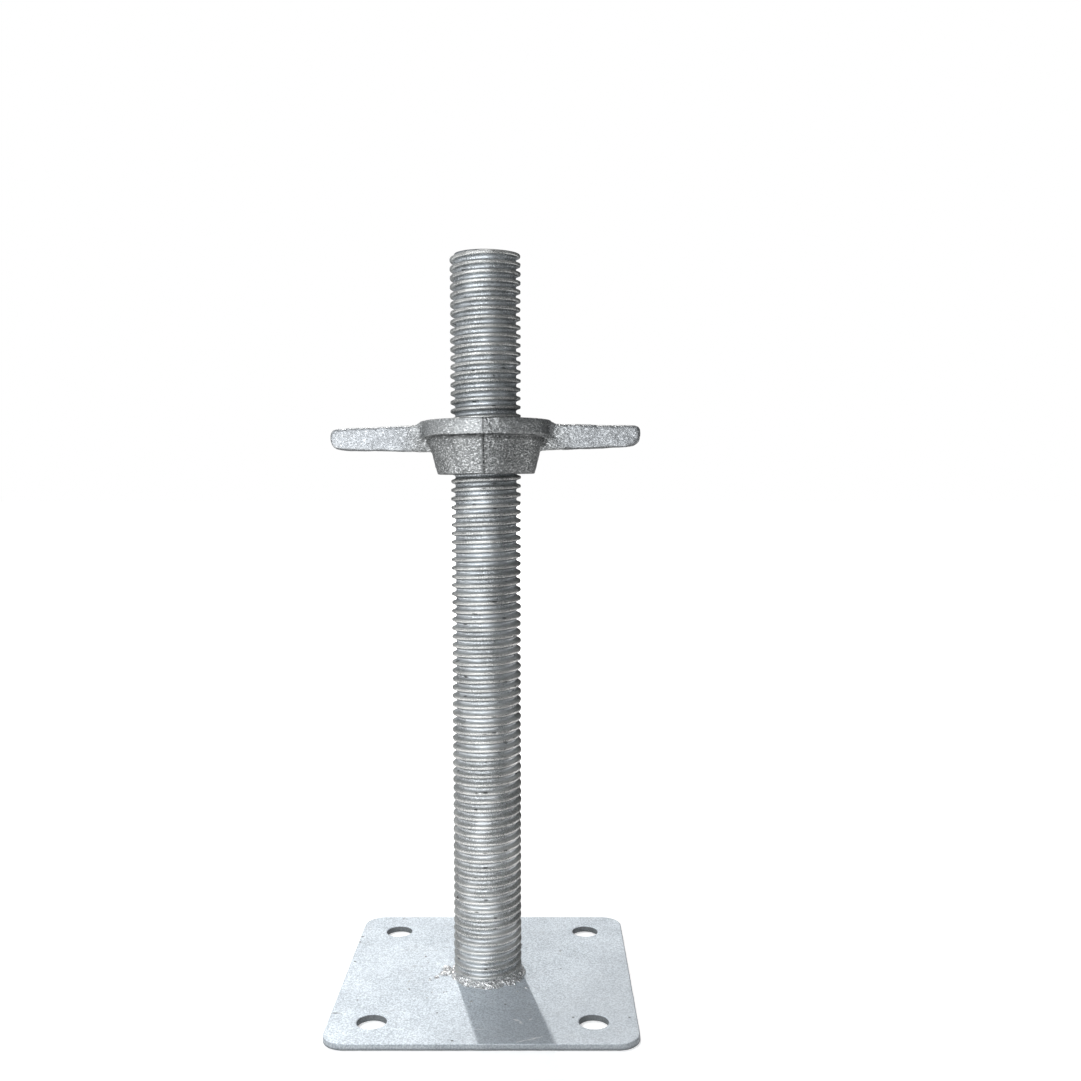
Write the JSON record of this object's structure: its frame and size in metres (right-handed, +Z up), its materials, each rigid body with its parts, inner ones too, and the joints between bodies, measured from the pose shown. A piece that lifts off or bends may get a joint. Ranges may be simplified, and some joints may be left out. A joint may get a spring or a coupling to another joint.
{
  "type": "scaffold base jack",
  "caption": "Galvanized scaffold base jack: threaded tube on a square drilled foot plate, with a cast wing nut that runs up and down the thread.",
  "frame": {"origin": "middle of the underside of the foot plate", "axes": "+Z up along the threaded tube, X along the handles of the wing nut and two sides of the plate"},
  "size_m": [0.168, 0.16, 0.4],
  "materials": {
    "galvanized_plate": "hot-dip galvanized sheet, pale and satin",
    "galvanized_thread": "hot-dip galvanized rolled thread, satin",
    "galvanized_weld": "hot-dip galvanized weld bead, rough",
    "galvanized_casting": "hot-dip galvanized iron casting, grainy"
  },
  "bodies": {
    "jack_base": {"base_plate": "galvanized_plate", "threaded_tube": "galvanized_thread", "foot_weld": "galvanized_weld"},
    "nut": {"wing_nut": "galvanized_casting"}
  },
  "joints": [
    {"name": "nut_travel", "type": "slide", "parent": "jack_base", "child": "nut", "axis": [0, 0, 1], "range_m": [-0.2726, 0.0846]}
  ]
}
